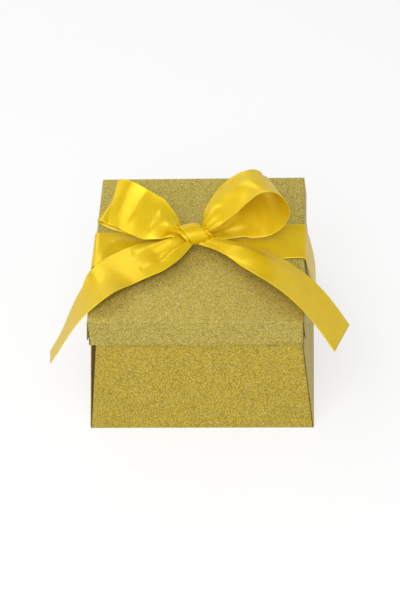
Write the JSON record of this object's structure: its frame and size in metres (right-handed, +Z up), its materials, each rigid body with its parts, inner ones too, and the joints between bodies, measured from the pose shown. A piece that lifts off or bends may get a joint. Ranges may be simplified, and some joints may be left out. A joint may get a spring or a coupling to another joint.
{
  "type": "favor box",
  "caption": "Tapered gold card favor box with a lift-off lid, folded and glued from glitter card, with a satin ribbon tied in a bow across the lid.",
  "frame": {"origin": "centre of the tray's underside, on the table", "axes": "+Z up, +X to the right and +Y to the back of the box as pictured"},
  "size_m": [0.0909, 0.0783, 0.0656],
  "materials": {
    "gold_card": "solid paperboard, gold glitter outside, plain inside",
    "satin_ribbon": "yellow satin weave"
  },
  "bodies": {
    "tray": {"tray_floor": "gold_card", "tray_front_wall": "gold_card", "tray_back_wall": "gold_card", "tray_left_wall": "gold_card", "tray_right_wall": "gold_card", "tray_tab_front_left": "gold_card", "tray_tab_front_right": "gold_card", "tray_tab_back_left": "gold_card", "tray_tab_back_right": "gold_card"},
    "lid": {"lid_top": "gold_card", "lid_front_skirt": "gold_card", "lid_back_skirt": "gold_card", "lid_left_skirt": "gold_card", "lid_right_skirt": "gold_card", "lid_tab_front_left": "gold_card", "lid_tab_front_right": "gold_card", "lid_tab_back_left": "gold_card", "lid_tab_back_right": "gold_card", "ribbon_band_left": "satin_ribbon", "ribbon_band_right": "satin_ribbon", "bow_knot": "satin_ribbon", "bow_loop_left": "satin_ribbon", "bow_loop_right": "satin_ribbon", "bow_tail_left": "satin_ribbon", "bow_tail_right": "satin_ribbon"}
  },
  "joints": [
    {"name": "lid_lift", "type": "slide", "parent": "tray", "child": "lid", "axis": [0, 0, 1], "range_m": [0, 0.07]}
  ]
}
